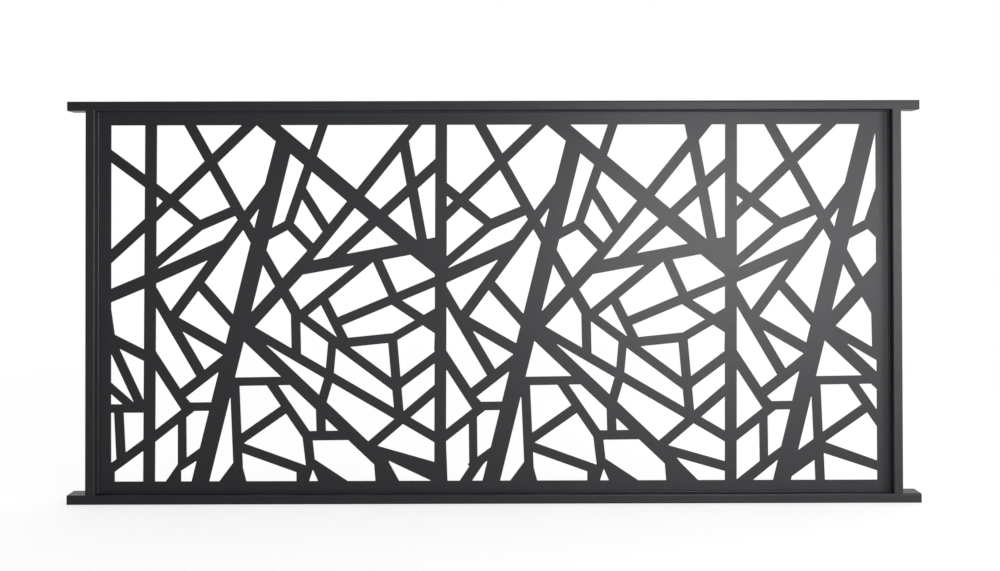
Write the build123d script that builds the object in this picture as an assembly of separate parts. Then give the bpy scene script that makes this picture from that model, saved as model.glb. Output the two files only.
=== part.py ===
from build123d import *
import math
import os

# Frame of welded rectangular tube, all sizes in mm.
# X runs along the panel, Y is its depth with the front at -Y, Z is up from the ground side.
PANEL_LENGTH = 1800
PANEL_HEIGHT = 850
EAR_LENGTH = 38
TUBE_DEPTH = 40
TUBE_FACE = 20
TUBE_WALL = 2
TUBE_EDGE_RADIUS = 3

# Cut sheet that fills the frame at half its depth.
SHEET_THICKNESS = 3
SIDE_MARGIN = 27.5
HEAD_MARGIN = 29
FOOT_MARGIN = 24
CUT_CORNER_RADIUS = 2.5
SMALLEST_WINDOW = 80
SHORTEST_EDGE = 4
STRAIGHT_WITHIN = 3

# Fillet weld that runs round the sheet on both sides.
WELD_LEG = 3

# Plugs that close the rail ends.
CAP_PLATE = 2
CAP_PLUG_LENGTH = 14
CAP_PLUG_WALL = 2
CAP_CLEARANCE = 0.2

# Widths of the branches left standing between the windows.
LIMB = 36.5
BOUGH = 32.5
ARM = 27
TRUNK = 25
BRANCH = 22
TWIG = 20
SPRIG = 18

# The branch pattern grows from upright trunks and is drawn for this field height.
# Each stick runs from (u, v) to (u, v): u along the panel from its trunk, v up
# from the lower edge of the cut field. Sticks that leave the field run past its edge.
MOTIF_HEIGHT = 757
MOTIF_PITCH = 618
FIRST_TRUNK = 85
OVER = 775
UNDER = -16

TRUNK_STICKS = [((0, OVER), (-4, UNDER))]
LIMB_STICKS = [((285, 726), (101, UNDER))]
ARM_STICKS = [
    ((-3, 429), (157, 501)),
    ((324, 460), (193, 317)),
    ((320, 451), (612, 505)),
    ((189, 323), (500, 29)),
]
BRANCH_STICKS = [
    ((73, OVER), (308, 357)),
    ((228, OVER), (-3, 553)),
    ((-3, 631), (100, 550)),
    ((98, 541), (189, 580)),
    ((250, 626), (36, 336)),
    ((577, OVER), (320, 457)),
    ((537, 727), (579, 498)),
    ((616, 680), (384, 469)),
    ((-3, 415), (109, 223)),
    ((35, 349), (178, 268)),
    ((98, 424), (193, 316)),
    ((178, 273), (56, 178)),
    ((-8, 284), (81, 147)),
]
TWIG_STICKS = [
    ((104, 543), (-3, 452)),
    ((372, OVER), (292, 545)),
    ((238, 517), (295, 547)),
    ((291, 547), (341, 495)),
    ((316, 626), (375, 532)),
    ((466, 472), (305, 341)),
    ((478, 476), (519, 385)),
    ((616, 428), (394, 336)),
    ((513, 385), (620, 314)),
    ((517, 304), (398, 292)),
    ((513, 306), (528, 134)),
    ((305, 360), (530, 192)),
    ((618, 273), (517, 198)),
    ((618, 204), (458, 68)),
    ((193, 332), (618, 84)),
    ((250, 215), (335, 91)),
    ((178, 204), (187, UNDER)),
    ((183, 83), (295, 161)),
    ((183, 75), (339, 19)),
    ((332, 100), (340, 25)),
    ((322, 96), (424, 97)),
    ((360, 168), (362, 95)),
    ((380, 225), (361, 161)),
    ((307, 368), (309, 266)),
    ((366, 387), (412, 295)),
    ((-3, 87), (90, 160)),
    ((453, 72), (618, 25)),
]
SPRIG_STICKS = [
    ((616, 363), (513, 303)),
    ((162, 211), (305, 213)),
    ((386, 300), (379, 223)),
    ((68, 158), (140, 159)),
    ((66, 140), (67, 31)),
    ((60, 28), (119, 71)),
]
# Spread feet where branches meet the lower border.
FEET = [
    [(309, 26), (309, UNDER), (331, UNDER), (344, 25)],
    [(344, 25), (362, UNDER), (442, UNDER), (348, 46)],
    [(474, 35), (478, UNDER), (536, UNDER), (503, 44)],
]
# What grows on every trunk but the last.
BOUGH_STICKS = [((228, OVER), (612, 451))]
BOUGH_FEET = [[(175, 40), (133, UNDER), (207, UNDER), (195, 29)]]
# What sets the first trunk, the trunks between and the last trunk apart.
FIRST_FEET = [
    [(58, 38), (20, UNDER), (64, UNDER), (64, 24)],
    [(503, 44), (630, UNDER), (630, 25), (560, 40)],
]
MIDDLE_STICKS = [((527, OVER), (541, 700)), ((78, 40), (40, UNDER))]
MIDDLE_FEET = [[(500, 45), (500, UNDER), (561, UNDER)]]
LAST_STICKS = [((77, 41), (5, UNDER))]
LAST_LIMBS = [((297, OVER), (282, 713)), ((292, 407), (330, 407)), ((106, 16), (192, 78))]

# Sticks between the left border and the first trunk, u measured from that trunk.
BORDER_BRANCHES = [
    ((-104, 706), (-3, 631)),
    ((-3, 553), (-104, 461)),
    ((-104, 313), (-3, 262)),
    ((-88, 40), (-88, UNDER)),
]
BORDER_ARMS = [((-3, 429), (-104, 387))]
BORDER_TWIGS = [
    ((-3, 87), (-104, 13)),
    ((-97, 379), (-87, 310)),
    ((-85, 296), (-19, 155)),
    ((-69, 161), (-63, 42)),
]
BORDER_SPRIGS = [((-104, 215), (-36, 155)), ((-104, 155), (-8, 155))]

# Places that follow from the sizes above.
RAIL_LENGTH = PANEL_LENGTH - 2 * CAP_PLATE
OPENING_LENGTH = PANEL_LENGTH - 2 * EAR_LENGTH - 2 * TUBE_FACE
OPENING_HEIGHT = PANEL_HEIGHT - 2 * TUBE_FACE
UPRIGHT_X = OPENING_LENGTH / 2 + TUBE_FACE / 2
FIELD_LEFT = -OPENING_LENGTH / 2 + SIDE_MARGIN
FIELD_RIGHT = OPENING_LENGTH / 2 - SIDE_MARGIN
FIELD_BOTTOM = TUBE_FACE + FOOT_MARGIN
FIELD_TOP = PANEL_HEIGHT - TUBE_FACE - HEAD_MARGIN
MOTIF_SCALE = (FIELD_TOP - FIELD_BOTTOM) / MOTIF_HEIGHT


def rail_profile():
    return RectangleRounded(TUBE_DEPTH, TUBE_FACE, TUBE_EDGE_RADIUS)


def bore_profile(clearance=0):
    inside = 2 * TUBE_WALL + 2 * clearance
    return Rectangle(TUBE_DEPTH - inside, TUBE_FACE - inside)


def rail(height):
    """A square-cut tube along X with its middle at the given height."""
    start = Plane((-RAIL_LENGTH / 2, 0, height), x_dir=(0, 1, 0), z_dir=(1, 0, 0))
    return extrude(start * (rail_profile() - bore_profile()), RAIL_LENGTH)


def rail_block(height):
    """The outer form of a rail, used to cope the uprights to it."""
    start = Plane((-RAIL_LENGTH / 2, 0, height), x_dir=(0, 1, 0), z_dir=(1, 0, 0))
    return extrude(start * rail_profile(), RAIL_LENGTH)


def upright(x, rail_heights):
    """A tube between the rails, coped over their rounded edges so the faces run flush."""
    foot = TUBE_FACE - TUBE_EDGE_RADIUS
    start = Plane((x, 0, foot), x_dir=(0, 1, 0), z_dir=(0, 0, 1))
    length = PANEL_HEIGHT - 2 * foot
    tube = extrude(start * (rail_profile() - bore_profile()), length)
    return tube - [rail_block(height) for height in rail_heights]


def end_cap(height, side):
    """A plate over the rail end with a hollow plug inside the tube."""
    rail_end = side * RAIL_LENGTH / 2
    seat = Plane((rail_end, 0, height), x_dir=(0, 1, 0), z_dir=(side, 0, 0))
    plate = extrude(seat * rail_profile(), CAP_PLATE)
    plug_face = bore_profile(CAP_CLEARANCE) - bore_profile(CAP_CLEARANCE + CAP_PLUG_WALL)
    return plate + extrude(seat * plug_face, -CAP_PLUG_LENGTH)


def weld(side):
    """A ring of triangular bead in the corner between the sheet and the frame."""
    face = side * SHEET_THICKNESS / 2
    middle = PANEL_HEIGHT / 2
    on_sheet = Plane((0, face, middle), x_dir=(1, 0, 0), z_dir=(0, side, 0))
    block = extrude(on_sheet * Rectangle(OPENING_LENGTH, OPENING_HEIGHT), WELD_LEG)
    narrow = Rectangle(OPENING_LENGTH - 2 * WELD_LEG, OPENING_HEIGHT - 2 * WELD_LEG)
    wide = Rectangle(OPENING_LENGTH, OPENING_HEIGHT)
    hollow = loft([on_sheet * narrow, on_sheet.offset(WELD_LEG) * wide])
    return block - hollow


def on_field(point, trunk_x):
    u, v = point
    return (trunk_x + u * MOTIF_SCALE, FIELD_BOTTOM + v * MOTIF_SCALE)


def bar(stick, width, trunk_x):
    """A straight bar of the given width along a stick."""
    x0, z0 = on_field(stick[0], trunk_x)
    x1, z1 = on_field(stick[1], trunk_x)
    length = math.hypot(x1 - x0, z1 - z0)
    dx = (z1 - z0) / length * width / 2
    dz = (x0 - x1) / length * width / 2
    corners = [(x0 + dx, z0 + dz), (x0 - dx, z0 - dz), (x1 - dx, z1 - dz), (x1 + dx, z1 + dz)]
    return Polygon(*corners, align=None)


def foot(corners, trunk_x):
    return Polygon(*[on_field(corner, trunk_x) for corner in corners], align=None)


def common_growth(trunk_x):
    """The branches that every trunk carries."""
    widths = [
        (TRUNK, TRUNK_STICKS),
        (LIMB, LIMB_STICKS),
        (ARM, ARM_STICKS),
        (BRANCH, BRANCH_STICKS),
        (TWIG, TWIG_STICKS),
        (SPRIG, SPRIG_STICKS),
    ]
    bars = [bar(stick, width, trunk_x) for width, sticks in widths for stick in sticks]
    return bars + [foot(corners, trunk_x) for corners in FEET]


def own_growth(number, count, trunk_x):
    """The branches that set one trunk apart from the next."""
    if number == count - 1:
        bars = [bar(stick, LIMB, trunk_x) for stick in LAST_LIMBS]
        return bars + [bar(stick, BRANCH, trunk_x) for stick in LAST_STICKS]
    bars = [bar(stick, BOUGH, trunk_x) for stick in BOUGH_STICKS]
    bars += [foot(corners, trunk_x) for corners in BOUGH_FEET]
    if number == 0:
        return bars + [foot(corners, trunk_x) for corners in FIRST_FEET]
    bars += [bar(stick, BRANCH, trunk_x) for stick in MIDDLE_STICKS]
    return bars + [foot(corners, trunk_x) for corners in MIDDLE_FEET]


def border_growth(trunk_x):
    """The branches between the left border and the first trunk."""
    widths = [
        (BRANCH, BORDER_BRANCHES),
        (ARM, BORDER_ARMS),
        (TWIG, BORDER_TWIGS),
        (SPRIG, BORDER_SPRIGS),
    ]
    return [bar(stick, width, trunk_x) for width, sticks in widths for stick in sticks]


def branch_bars():
    first = FIELD_LEFT + FIRST_TRUNK * MOTIF_SCALE
    pitch = MOTIF_PITCH * MOTIF_SCALE
    count = math.ceil((FIELD_RIGHT - first) / pitch)
    bars = border_growth(first)
    for number in range(count):
        trunk_x = first + number * pitch
        bars += common_growth(trunk_x)
        bars += own_growth(number, count, trunk_x)
    return bars


def ordered_corners(face):
    """The corner points of a straight-sided face, in order round it."""
    ends = [(edge @ 0, edge @ 1) for edge in face.outer_wire().order_edges()]
    corners = []
    for before, after in zip(ends[-1:] + ends[:-1], ends):
        shared = min(after, key=lambda point: min((point - other).length for other in before))
        corners.append((shared.X, shared.Y))
    return corners


def turn_at(before, corner, after):
    """How far the outline turns at a corner, in degrees."""
    into = math.atan2(corner[1] - before[1], corner[0] - before[0])
    out = math.atan2(after[1] - corner[1], after[0] - corner[0])
    return math.degrees(math.remainder(out - into, 2 * math.pi))


def tidy_corners(corners):
    """Join corners that nearly meet, then leave out those on a straight run."""
    joined = []
    for corner in corners:
        if joined and math.dist(joined[-1], corner) < SHORTEST_EDGE:
            last = joined.pop()
            corner = ((last[0] + corner[0]) / 2, (last[1] + corner[1]) / 2)
        joined.append(corner)
    if math.dist(joined[0], joined[-1]) < SHORTEST_EDGE:
        joined.pop()
    count = len(joined)
    turns = [turn_at(joined[i - 1], joined[i], joined[(i + 1) % count]) for i in range(count)]
    return [corner for corner, turn in zip(joined, turns) if abs(turn) > STRAIGHT_WITHIN]


def eased_corner(before, corner, after):
    """Start, middle and end of the two short flats that ease one corner."""
    point = Vector(*corner)
    back = Vector(*before) - point
    ahead = Vector(*after) - point
    half_turn = math.radians(abs(turn_at(before, corner, after))) / 2
    reach = CUT_CORNER_RADIUS * math.tan(half_turn)
    reach = min(reach, back.length * 0.45, ahead.length * 0.45)
    radius = reach / math.tan(half_turn)
    inward = (back.normalized() + ahead.normalized()).normalized()
    middle = point + inward * (radius / math.cos(half_turn) - radius)
    return point + back.normalized() * reach, middle, point + ahead.normalized() * reach


def window_outline(corners):
    """A closed outline with every corner eased, as a cutting beam leaves it."""
    count = len(corners)
    points = []
    for i in range(count):
        points += eased_corner(corners[i - 1], corners[i], corners[(i + 1) % count])
    return Wire.make_polygon(points, close=True)


def window_outlines():
    """Every window is a piece of the field that no branch covers."""
    size = (FIELD_RIGHT - FIELD_LEFT, FIELD_TOP - FIELD_BOTTOM)
    middle = ((FIELD_RIGHT + FIELD_LEFT) / 2, (FIELD_TOP + FIELD_BOTTOM) / 2)
    field = Pos(*middle) * Rectangle(*size)
    pieces = (field - branch_bars()).faces()
    open_pieces = [piece for piece in pieces if piece.area > SMALLEST_WINDOW]
    corner_sets = [tidy_corners(ordered_corners(piece)) for piece in open_pieces]
    return [window_outline(corners) for corners in corner_sets if len(corners) > 2]


def lattice_sheet():
    """The sheet, cut through with the windows and set at half the frame's depth."""
    middle = PANEL_HEIGHT / 2
    outline = (Pos(0, middle) * Rectangle(OPENING_LENGTH, OPENING_HEIGHT)).face().outer_wire()
    sheet = Face(outline, window_outlines())
    upright_sheet = Plane.XZ * sheet
    return extrude(upright_sheet, SHEET_THICKNESS / 2, both=True)


def build():
    low = TUBE_FACE / 2
    high = PANEL_HEIGHT - TUBE_FACE / 2
    return {
        "bottom_rail": rail(low),
        "top_rail": rail(high),
        "left_upright": upright(-UPRIGHT_X, (low, high)),
        "right_upright": upright(UPRIGHT_X, (low, high)),
        "lattice_sheet": lattice_sheet(),
        "front_weld": weld(-1),
        "rear_weld": weld(1),
        "bottom_left_cap": end_cap(low, -1),
        "bottom_right_cap": end_cap(low, 1),
        "top_left_cap": end_cap(high, -1),
        "top_right_cap": end_cap(high, 1),
    }


os.makedirs("parts", exist_ok=True)
for name, solid in build().items():
    export_step(solid, os.path.join("parts", name + ".step"))
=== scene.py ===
import math
import bpy
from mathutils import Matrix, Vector
from mathutils.geometry import tessellate_polygon


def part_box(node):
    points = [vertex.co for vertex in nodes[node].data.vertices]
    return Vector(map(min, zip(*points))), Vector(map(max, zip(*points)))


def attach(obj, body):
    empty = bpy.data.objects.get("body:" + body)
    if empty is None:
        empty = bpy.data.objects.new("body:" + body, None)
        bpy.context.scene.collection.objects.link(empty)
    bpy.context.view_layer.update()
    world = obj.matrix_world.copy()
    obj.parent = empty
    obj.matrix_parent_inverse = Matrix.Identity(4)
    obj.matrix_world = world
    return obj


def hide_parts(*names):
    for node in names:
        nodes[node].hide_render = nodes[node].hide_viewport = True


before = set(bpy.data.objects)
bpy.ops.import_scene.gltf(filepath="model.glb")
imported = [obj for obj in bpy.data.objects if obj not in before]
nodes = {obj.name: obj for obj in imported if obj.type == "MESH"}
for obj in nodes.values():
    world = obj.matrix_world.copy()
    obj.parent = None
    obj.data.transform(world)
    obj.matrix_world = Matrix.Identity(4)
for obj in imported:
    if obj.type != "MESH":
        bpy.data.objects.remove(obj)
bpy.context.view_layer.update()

# The top and bottom rails are 40 x 20 mm extruded aluminium tubes with
# rounded long edges, sawn to length and powder coated in dark anthracite.
# They carry the uprights between them and run past them as short ears.

RAIL_NODES = ("bottom_rail", "top_rail")
COAT_DARK = (0.0258, 0.0272, 0.0312, 1.0)
COAT_LIGHT = (0.0306, 0.0322, 0.0366, 1.0)
COAT_SMOOTH = 0.39
COAT_ROUGH = 0.45
COAT_PEEL = 0.25


def surface_noise(tree, scale, detail):
    """A noise pattern that keeps its place on the piece."""
    place = tree.nodes.new("ShaderNodeTexCoord")
    noise = tree.nodes.new("ShaderNodeTexNoise")
    noise.inputs["Scale"].default_value = scale
    noise.inputs["Detail"].default_value = detail
    tree.links.new(place.outputs["Object"], noise.inputs["Vector"])
    return noise.outputs["Fac"]


def coat_material(name, dark, light, smooth, rough, peel):
    """A coat with slow tone drift, uneven gloss and fine orange peel."""
    drift_scale = 4.0
    drift_detail = 3.0
    gloss_scale = 55.0
    gloss_detail = 4.0
    peel_scale = 420.0
    peel_detail = 2.0
    peel_depth = 0.0004

    material = bpy.data.materials.new(name)
    material.use_nodes = True
    tree = material.node_tree
    link = tree.links.new
    shader = tree.nodes["Principled BSDF"]

    tones = tree.nodes.new("ShaderNodeValToRGB")
    tones.color_ramp.elements[0].color = dark
    tones.color_ramp.elements[1].color = light
    drift = surface_noise(tree, drift_scale, drift_detail)
    link(drift, tones.inputs["Fac"])
    link(tones.outputs["Color"], shader.inputs["Base Color"])

    spread = tree.nodes.new("ShaderNodeMapRange")
    spread.inputs["To Min"].default_value = smooth
    spread.inputs["To Max"].default_value = rough
    gloss = surface_noise(tree, gloss_scale, gloss_detail)
    link(gloss, spread.inputs["Value"])
    link(spread.outputs["Result"], shader.inputs["Roughness"])

    bump = tree.nodes.new("ShaderNodeBump")
    bump.inputs["Strength"].default_value = peel
    bump.inputs["Distance"].default_value = peel_depth
    grain = surface_noise(tree, peel_scale, peel_detail)
    link(grain, bump.inputs["Height"])
    link(bump.outputs["Normal"], shader.inputs["Normal"])
    return material


def finish_node(name, material):
    """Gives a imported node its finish."""
    node = nodes[name]
    node.data.materials.clear()
    node.data.materials.append(material)
    return node


rail_coat = coat_material(
    "rail_coat", COAT_DARK, COAT_LIGHT, COAT_SMOOTH, COAT_ROUGH, COAT_PEEL)
for rail_name in RAIL_NODES:
    finish_node(rail_name, rail_coat)

# The uprights are the same tube, sawn square, coped over the rails'
# rounded edges and welded between them, then coated with the rails.

UPRIGHT_NODES = ("left_upright", "right_upright")

for upright_name in UPRIGHT_NODES:
    finish_node(upright_name, rail_coat)

# The lattice is one 3 mm aluminium sheet, cut through into leaning trunks
# and branches. Its corners are cut close to sharp, its cut edges are
# broken, and it is powder coated all over like the frame.

EDGE_BREAK = 0.0004
EDGE_BREAK_CUTS = 3
CORNER_RADIUS = 0.0008
CORNER_TURN_LEAST = math.radians(4.0)
CORNER_CUT_TURN = math.radians(15.0)
CORNER_CUTS_LEAST = 2
FLAT_MOST = 0.0055
FLAT_MATCH = 0.02
SAME_PLACE = 1.0e-6
QUARTER_TURN = math.radians(90.0)
FRONT = -1.0
REAR = 1.0


def face_loops(node, level):
    """Outlines of a flat node's face at one depth, as lists of points."""
    keys = {}
    places = []
    numbers = []
    for vertex in node.data.vertices:
        x, y, z = vertex.co
        if abs(y - level) > SAME_PLACE:
            numbers.append(None)
            continue
        key = (round(x / SAME_PLACE), round(z / SAME_PLACE))
        if key not in keys:
            keys[key] = len(places)
            places.append(Vector((x, z)))
        numbers.append(keys[key])
    # A side that two triangles share runs both ways, so it cancels out.
    sides = set()
    for face in node.data.polygons:
        corners = [numbers[vertex] for vertex in face.vertices]
        if None in corners:
            continue
        for here, there in zip(corners, corners[1:] + corners[:1]):
            if (there, here) in sides:
                sides.remove((there, here))
            else:
                sides.add((here, there))
    after = dict(sides)
    loops = []
    while after:
        first, at = after.popitem()
        loop = [first]
        while at != first:
            loop.append(at)
            at = after.pop(at)
        loops.append([places[number] for number in loop])
    return loops


def turn(before, at, following):
    """How far a path turns at a point, in radians."""
    one = at - before
    two = following - at
    return math.atan2(one.x * two.y - one.y * two.x, one.dot(two))


def cut_corner(before, middle, following):
    """The small round of a cut corner, from the flats that stand for it."""
    bend = 2.0 * turn(before, middle, following)
    chord = (following - before) / 2.0
    radius = chord.length / math.sin(bend / 2.0)
    square = Vector((-chord.y, chord.x)).normalized()
    centre = before + chord + square * radius * math.cos(bend / 2.0)
    sharp = centre + (middle - centre) / math.cos(bend / 2.0)
    share = min(1.0, CORNER_RADIUS / abs(radius))
    arm = before - centre
    steps = max(CORNER_CUTS_LEAST, math.ceil(abs(bend) / CORNER_CUT_TURN))
    points = []
    for step in range(steps + 1):
        angle = bend * step / steps
        rim = centre + Vector((
            arm.x * math.cos(angle) - arm.y * math.sin(angle),
            arm.x * math.sin(angle) + arm.y * math.cos(angle)))
        points.append(sharp + (rim - sharp) * share)
    return points


def cut_loop(loop):
    """An outline with each pair of corner flats made one small round."""
    count = len(loop)
    turns = []
    for number, middle in enumerate(loop):
        following = loop[(number + 1) % count]
        turns.append(abs(turn(loop[number - 1], middle, following)))
    corners = []
    for number, middle in enumerate(loop):
        following = (number + 1) % count
        beside = max(turns[number - 1], turns[following])
        one = (middle - loop[number - 1]).length
        two = (loop[following] - middle).length
        even = abs(one - two) < FLAT_MATCH * one
        short = one < FLAT_MOST
        bent = turns[number] > max(CORNER_TURN_LEAST, beside)
        corners.append(even and short and bent)
    points = []
    for number, middle in enumerate(loop):
        following = (number + 1) % count
        if corners[number]:
            points += cut_corner(
                loop[number - 1], middle, loop[following])
        elif not corners[number - 1] and not corners[following]:
            points.append(middle)
    return points


def side_squares(loop):
    """For each point, the direction square to the outline and its reach."""
    count = len(loop)
    squares = []
    for number, at in enumerate(loop):
        one = (at - loop[number - 1]).normalized()
        two = (loop[(number + 1) % count] - at).normalized()
        left_one = Vector((-one.y, one.x))
        left_two = Vector((-two.y, two.x))
        both = left_one + left_two
        squares.append((both.normalized(), both / (1.0 + one.dot(two))))
    return squares


def edge_rows(front, rear):
    """Rows of points from front to rear down a cut, broken edge."""
    steps = []
    for cut in range(EDGE_BREAK_CUTS + 1):
        lean = QUARTER_TURN * cut / EDGE_BREAK_CUTS
        inset = EDGE_BREAK * (1.0 - math.sin(lean))
        drop = EDGE_BREAK * (1.0 - math.cos(lean))
        steps.append((inset, drop, lean))
    rows = []
    for inset, drop, lean in steps:
        rows.append((inset, front + drop, lean, FRONT))
    for inset, drop, lean in reversed(steps):
        rows.append((inset, rear - drop, lean, REAR))
    return rows


def edge_points(outline, rows):
    """Points down the edge of one outline, each with its shading way."""
    points = []
    normals = []
    squares = side_squares(outline)
    for inset, depth, lean, side in rows:
        for at, (square, reach) in zip(outline, squares):
            spot = at + reach * inset
            points.append((spot.x, depth, spot.y))
            out = -square * math.sin(lean)
            normals.append((out.x, side * math.cos(lean), out.y))
    return points, normals


def edge_faces(first, count, rows):
    """Faces that join the rows of one outline's edge."""
    faces = []
    for row in range(len(rows) - 1):
        here = first + row * count
        there = here + count
        for number in range(count):
            beside = (number + 1) % count
            faces.append((here + number, there + number,
                          there + beside, here + beside))
    return faces


def flat_faces(points, edges, rows):
    """Faces of the sheet's front and rear, between all the outlines."""
    last_row = len(rows) - 1
    borders = []
    pairs = []
    for first, count in edges:
        ring = range(first, first + count)
        borders.append([
            Vector((points[number][0], points[number][2], 0.0))
            for number in ring])
        pairs += [(number, number + last_row * count) for number in ring]
    faces = []
    for triangle in tessellate_polygon(borders):
        corners = [pairs[corner] for corner in triangle]
        one, two, three = (points[front] for front, _ in corners)
        spread = ((two[0] - one[0]) * (three[2] - one[2])
                  - (two[2] - one[2]) * (three[0] - one[0]))
        if spread < 0.0:
            corners.reverse()
        faces.append([front for front, _ in corners])
        faces.append([rear for _, rear in reversed(corners)])
    return faces


def stand_for(node_name, name, mesh, material):
    """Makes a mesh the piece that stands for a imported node."""
    mesh.materials.append(material)
    piece = bpy.data.objects.new(name, mesh)
    bpy.context.scene.collection.objects.link(piece)
    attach(piece, "root")
    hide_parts(node_name)
    return piece


def cut_sheet(name, node_name, material):
    """The sheet with small rounds in its corners and broken edges."""
    low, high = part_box(node_name)
    front = low[1]
    rear = high[1]
    middle = (front + rear) / 2.0
    rows = edge_rows(front, rear)
    points = []
    normals = []
    faces = []
    edges = []
    for loop in face_loops(nodes[node_name], front):
        outline = cut_loop(loop)
        first = len(points)
        edges.append((first, len(outline)))
        faces += edge_faces(first, len(outline), rows)
        new_points, new_normals = edge_points(outline, rows)
        points += new_points
        normals += new_normals
    wall_count = len(faces)
    faces += flat_faces(points, edges, rows)
    mesh = bpy.data.meshes.new(name)
    mesh.from_pydata(points, [], faces)
    mesh.update()
    shading = []
    for number, face in enumerate(mesh.polygons):
        face.use_smooth = True
        for vertex in face.vertices:
            if number < wall_count:
                shading.append(normals[vertex])
            else:
                side = FRONT if points[vertex][1] < middle else REAR
                shading.append((0.0, side, 0.0))
    mesh.normals_split_custom_set(shading)
    return stand_for(node_name, name, mesh, material)


sheet_coat = coat_material(
    "sheet_coat", COAT_DARK, COAT_LIGHT, COAT_SMOOTH, COAT_ROUGH, COAT_PEEL)
cut_sheet("cut_sheet", "lattice_sheet", sheet_coat)

# A weld bead runs round the sheet on both sides and joins it to the
# tubes. It is laid by hand in short steps that leave faint ripples, its
# face is full and round, and it is coated over with the frame.

BEAD_STEP = 0.0032
BEAD_RIPPLE = 0.06
BEAD_CUTS_PER_STEP = 3
BEAD_ARC_CUTS = 8


def bead_section(leg):
    """Corner point first, then the round face from tube to sheet."""
    points = [(0.0, 0.0)]
    for cut in range(BEAD_ARC_CUTS + 1):
        angle = QUARTER_TURN * (1.0 - cut / BEAD_ARC_CUTS)
        points.append((leg * math.cos(angle), leg * math.sin(angle)))
    return points


def bead_run(start, end, leg, sheet_face, side):
    """Points of the bead along one side, up to the next corner."""
    length = abs(end[0] - start[0]) + abs(end[1] - start[1])
    stations = BEAD_CUTS_PER_STEP * round(length / BEAD_STEP)
    points = []
    for station in range(stations):
        along = station / stations
        wave = math.cos(math.tau * station / BEAD_CUTS_PER_STEP)
        size = leg * (1.0 - BEAD_RIPPLE * (1.0 - wave) / 2.0)
        for inward, outward in bead_section(size):
            start_x = start[0] + inward * start[2]
            start_z = start[1] + inward * start[3]
            end_x = end[0] + inward * end[2]
            end_z = end[1] + inward * end[3]
            points.append((
                start_x + (end_x - start_x) * along,
                sheet_face + side * outward,
                start_z + (end_z - start_z) * along))
    return points


def bead_ring(name, node_name, side, material):
    """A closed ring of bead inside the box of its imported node."""
    low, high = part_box(node_name)
    leg = high[1] - low[1]
    sheet_face = high[1] if side == FRONT else low[1]
    # Each corner of the ring: its place, then its way inward in x and z.
    corners = [
        (low[0], low[2], 1.0, 1.0), (high[0], low[2], -1.0, 1.0),
        (high[0], high[2], -1.0, -1.0), (low[0], high[2], 1.0, -1.0)]
    points = []
    for start, end in zip(corners, corners[1:] + corners[:1]):
        points += bead_run(start, end, leg, sheet_face, side)
    width = len(bead_section(leg))
    rings = len(points) // width
    faces = []
    for ring in range(rings):
        here = ring * width
        there = (ring + 1) % rings * width
        for edge in range(width):
            beside = (edge + 1) % width
            face = (here + edge, here + beside, there + beside, there + edge)
            faces.append(face[::-1] if side == FRONT else face)
    mesh = bpy.data.meshes.new(name)
    mesh.from_pydata(points, [], faces)
    mesh.update()
    # The two strips against sheet and tube stay flat, the face is smooth.
    flat_strips = (0, width - 1)
    for number, face in enumerate(mesh.polygons):
        face.use_smooth = number % width not in flat_strips
    return stand_for(node_name, name, mesh, material)


bead_ring("front_bead", "front_weld", FRONT, rail_coat)
bead_ring("rear_bead", "rear_weld", REAR, rail_coat)

# Moulded plastic plugs close the four open rail ends. A flat plate
# covers the tube's end and a hollow plug grips inside it.

CAP_NODES = (
    "bottom_left_cap", "bottom_right_cap",
    "top_left_cap", "top_right_cap")
CAP_DARK = (0.0210, 0.0216, 0.0234, 1.0)
CAP_LIGHT = (0.0250, 0.0257, 0.0276, 1.0)
CAP_SMOOTH = 0.50
CAP_ROUGH = 0.58
CAP_GRAIN = 0.30
CAP_EDGE = 0.0005
CAP_EDGE_STEPS = 2
CAP_EDGE_ANGLE = math.radians(60.0)
CAP_SEAM = 0.000002


def break_cap_edges(cap):
    """Joins the split seams of a cap's mesh and rounds its sharp edges."""
    seams = cap.modifiers.new("joined_seams", "WELD")
    seams.merge_threshold = CAP_SEAM
    edges = cap.modifiers.new("broken_edges", "BEVEL")
    edges.width = CAP_EDGE
    edges.segments = CAP_EDGE_STEPS
    edges.limit_method = "ANGLE"
    edges.angle_limit = CAP_EDGE_ANGLE
    edges.harden_normals = True


cap_plastic = coat_material(
    "cap_plastic", CAP_DARK, CAP_LIGHT, CAP_SMOOTH, CAP_ROUGH, CAP_GRAIN)
for cap_name in CAP_NODES:
    break_cap_edges(finish_node(cap_name, cap_plastic))

# The floor is plain and near white. Close to the panel it takes the
# panel's soft shadow, and further out it runs into the white round it.

FLOOR_HALF = 30.0
FLOOR_DROP = 0.0002
FLOOR_SHADE = (0.45, 0.45, 0.45, 1.0)
FLOOR_GLOW_NEAR = 0.72
FLOOR_GLOW_FAR = 1.0
FLOOR_NEAR = 0.8
FLOOR_FAR = 3.0
FLOOR_WHITE_START = -0.10
FLOOR_WHITE_FULL = 0.30


def soft_step(tree, value, start, full):
    """A value's smooth rise between two places, as a range node."""
    step = tree.nodes.new("ShaderNodeMapRange")
    step.interpolation_type = "SMOOTHSTEP"
    step.inputs["From Min"].default_value = start
    step.inputs["From Max"].default_value = full
    tree.links.new(value, step.inputs["Value"])
    return step


def two_values(tree, operation, one, two):
    """Works two values into one: the larger of them, or the product."""
    node = tree.nodes.new("ShaderNodeMath")
    node.operation = operation
    tree.links.new(one, node.inputs[0])
    tree.links.new(two, node.inputs[1])
    return node.outputs["Value"]


def glow(tree, strength):
    """A plain white glow."""
    node = tree.nodes.new("ShaderNodeEmission")
    node.inputs["Strength"].default_value = strength
    return node.outputs["Emission"]


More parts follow.
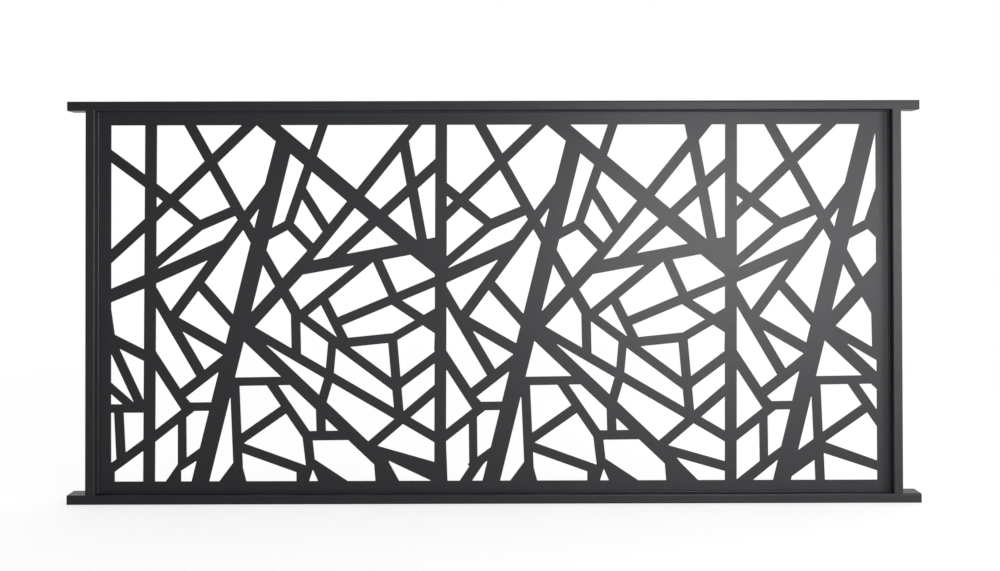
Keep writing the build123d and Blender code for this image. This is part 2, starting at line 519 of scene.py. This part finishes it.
def mix(tree, share, one, two):
    """Blends two shaders, from the first at 0 to the second at 1."""
    node = tree.nodes.new("ShaderNodeMixShader")
    tree.links.new(share, node.inputs["Fac"])
    tree.links.new(one, node.inputs[1])
    tree.links.new(two, node.inputs[2])
    return node.outputs["Shader"]


floor_mesh = bpy.data.meshes.new("floor")
floor_mesh.from_pydata(
    [(-FLOOR_HALF, -FLOOR_HALF, -FLOOR_DROP),
     (FLOOR_HALF, -FLOOR_HALF, -FLOOR_DROP),
     (FLOOR_HALF, FLOOR_HALF, -FLOOR_DROP),
     (-FLOOR_HALF, FLOOR_HALF, -FLOOR_DROP)],
    [], [(0, 1, 2, 3)])
floor = bpy.data.objects.new("floor", floor_mesh)
bpy.context.scene.collection.objects.link(floor)

floor_finish = bpy.data.materials.new("floor_finish")
floor_finish.use_nodes = True
floor_mesh.materials.append(floor_finish)
floor_tree = floor_finish.node_tree
floor_tree.nodes.clear()
floor_link = floor_tree.links.new
floor_place = floor_tree.nodes.new("ShaderNodeTexCoord")
floor_rays = floor_tree.nodes.new("ShaderNodeLightPath")

floor_paint = floor_tree.nodes.new("ShaderNodeBsdfDiffuse")
floor_paint.inputs["Color"].default_value = FLOOR_SHADE
floor_near = floor_tree.nodes.new("ShaderNodeAddShader")
floor_link(floor_paint.outputs["BSDF"], floor_near.inputs[0])
floor_link(glow(floor_tree, FLOOR_GLOW_NEAR), floor_near.inputs[1])

floor_reach = floor_tree.nodes.new("ShaderNodeVectorMath")
floor_reach.operation = "LENGTH"
floor_link(floor_place.outputs["Object"], floor_reach.inputs[0])
floor_fade = soft_step(
    floor_tree, floor_reach.outputs["Value"], FLOOR_NEAR, FLOOR_FAR)
floor_white = mix(
    floor_tree, floor_fade.outputs["Result"],
    floor_near.outputs["Shader"], glow(floor_tree, FLOOR_GLOW_FAR))

# The white shows straight on and, behind the panel, in reflections too.
floor_axes = floor_tree.nodes.new("ShaderNodeSeparateXYZ")
floor_link(floor_place.outputs["Object"], floor_axes.inputs["Vector"])
floor_behind = soft_step(
    floor_tree, floor_axes.outputs["Y"], FLOOR_WHITE_START, FLOOR_WHITE_FULL)
floor_mirrored = two_values(
    floor_tree, "MULTIPLY",
    floor_rays.outputs["Is Glossy Ray"], floor_behind.outputs["Result"])
floor_seen = two_values(
    floor_tree, "MAXIMUM",
    floor_rays.outputs["Is Camera Ray"],
    floor_rays.outputs["Is Transmission Ray"])
floor_shown = two_values(floor_tree, "MAXIMUM", floor_seen, floor_mirrored)
floor_out = floor_tree.nodes.new("ShaderNodeOutputMaterial")
floor_link(
    mix(floor_tree, floor_shown, floor_paint.outputs["BSDF"], floor_white),
    floor_out.inputs["Surface"])

# The studio is white behind the panel and a dim room in front of it. A
# soft lamp stands right of the camera, a second one further round lights
# the panel's right end from the side, and a weak one fills in the left.

ROOM_LEVEL = 0.05
BACKDROP_LEVEL = 1.0
BACKDROP_START = -0.60
BACKDROP_FULL = 0.5
WHITE = (1.0, 1.0, 1.0, 1.0)
KEY_PLACE = (0.94, -2.40, 0.56)
KEY_TURN = math.radians(14.0)
KEY_SIDE = 0.85
KEY_POWER = 25.0
WING_PLACE = (2.45, -1.55, 0.70)
WING_TURN = math.radians(47.0)
WING_SIDE = 0.80
WING_POWER = 30.0
FILL_PLACE = (-0.90, -2.40, 0.26)
FILL_TURN = math.radians(-10.0)
FILL_SIDE = 1.2
FILL_POWER = 3.8


def softbox(name, place, swing, side, power):
    """A square soft lamp on a level stand, out of the camera's sight."""
    light = bpy.data.lights.new(name, "AREA")
    light.shape = "SQUARE"
    light.size = side
    light.energy = power
    lamp = bpy.data.objects.new(name, light)
    lamp.location = place
    lamp.rotation_euler = (QUARTER_TURN, 0.0, swing)
    lamp.visible_camera = False
    bpy.context.scene.collection.objects.link(lamp)


world = bpy.data.worlds.new("studio")
bpy.context.scene.world = world
world.use_nodes = True
air = world.node_tree
air.nodes.clear()
air_link = air.links.new
air_way = air.nodes.new("ShaderNodeTexCoord")
air_axes = air.nodes.new("ShaderNodeSeparateXYZ")
air_link(air_way.outputs["Generated"], air_axes.inputs["Vector"])
air_level = soft_step(
    air, air_axes.outputs["Y"], BACKDROP_START, BACKDROP_FULL)
air_level.inputs["To Min"].default_value = ROOM_LEVEL
air_level.inputs["To Max"].default_value = BACKDROP_LEVEL
air_room = air.nodes.new("ShaderNodeBackground")
air_room.inputs["Color"].default_value = WHITE
air_link(air_level.outputs["Result"], air_room.inputs["Strength"])
air_white = air.nodes.new("ShaderNodeBackground")
air_white.inputs["Color"].default_value = WHITE
air_white.inputs["Strength"].default_value = BACKDROP_LEVEL
air_rays = air.nodes.new("ShaderNodeLightPath")
air_seen = two_values(
    air, "MAXIMUM",
    air_rays.outputs["Is Camera Ray"],
    air_rays.outputs["Is Transmission Ray"])
air_out = air.nodes.new("ShaderNodeOutputWorld")
air_link(
    mix(air, air_seen,
        air_room.outputs["Background"], air_white.outputs["Background"]),
    air_out.inputs["Surface"])

softbox("key_softbox", KEY_PLACE, KEY_TURN, KEY_SIDE, KEY_POWER)
softbox("wing_softbox", WING_PLACE, WING_TURN, WING_SIDE, WING_POWER)
softbox("fill_softbox", FILL_PLACE, FILL_TURN, FILL_SIDE, FILL_POWER)

# The camera stands level in front of the panel's middle, a little above
# half height, and its frame is shifted down to hold the whole panel.

EYE_PLACE = (0.0, -2.030, 0.600)
EYE_TURN = (math.radians(90.476), math.radians(0.125), math.radians(-0.090))
EYE_LENS = 34.3
EYE_SENSOR = 36.0
EYE_SHIFT_X = 0.0047
EYE_SHIFT_Y = -0.0744

eye_lens = bpy.data.cameras.new("eye")
eye_lens.sensor_width = EYE_SENSOR
eye_lens.lens = EYE_LENS
eye_lens.shift_x = EYE_SHIFT_X
eye_lens.shift_y = EYE_SHIFT_Y
eye = bpy.data.objects.new("eye", eye_lens)
eye.location = EYE_PLACE
eye.rotation_euler = EYE_TURN
bpy.context.scene.collection.objects.link(eye)
bpy.context.scene.camera = eye
bpy.context.scene.view_settings.view_transform = "Standard"
